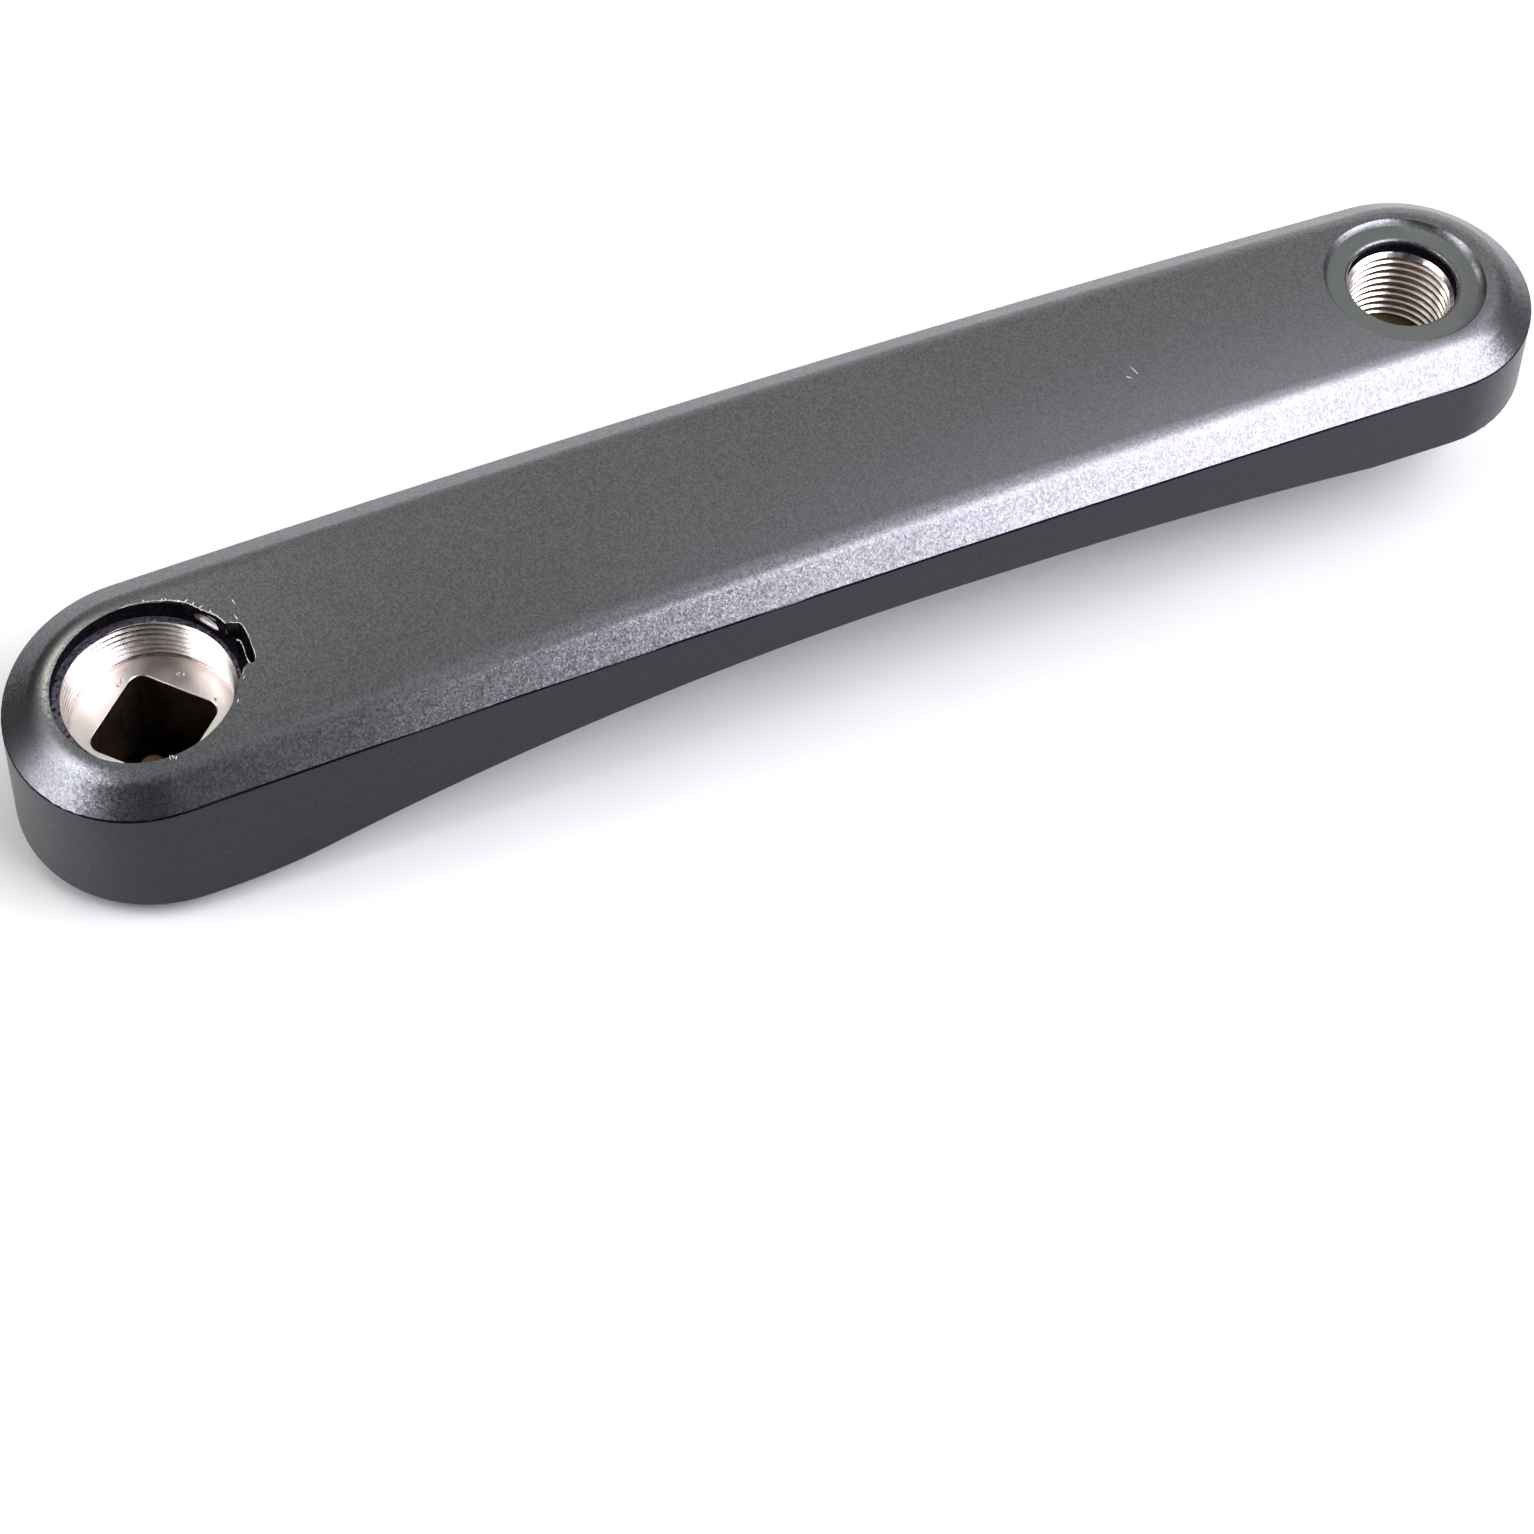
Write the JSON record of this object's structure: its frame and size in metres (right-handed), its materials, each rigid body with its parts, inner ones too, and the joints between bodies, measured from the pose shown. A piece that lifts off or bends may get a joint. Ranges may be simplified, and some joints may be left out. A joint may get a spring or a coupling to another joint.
{
  "type": "bicycle crank arm",
  "caption": "Forged left crank arm with a square taper spindle socket, an extractor thread under a cap recess, and a threaded pedal eye in a dished face.",
  "frame": {"origin": "spindle axis at the machined back seat, where the spindle enters the square socket", "axes": "+Z along the spindle axis to the outer face, +X along the arm to the pedal axis"},
  "size_m": [0.2068, 0.0374, 0.0306],
  "materials": {
    "arm": "dark grey metallic satin paint over forged aluminium, bare machined metal in the bores"
  },
  "bodies": {
    "root": {"crank_arm": "arm"}
  },
  "joints": []
}
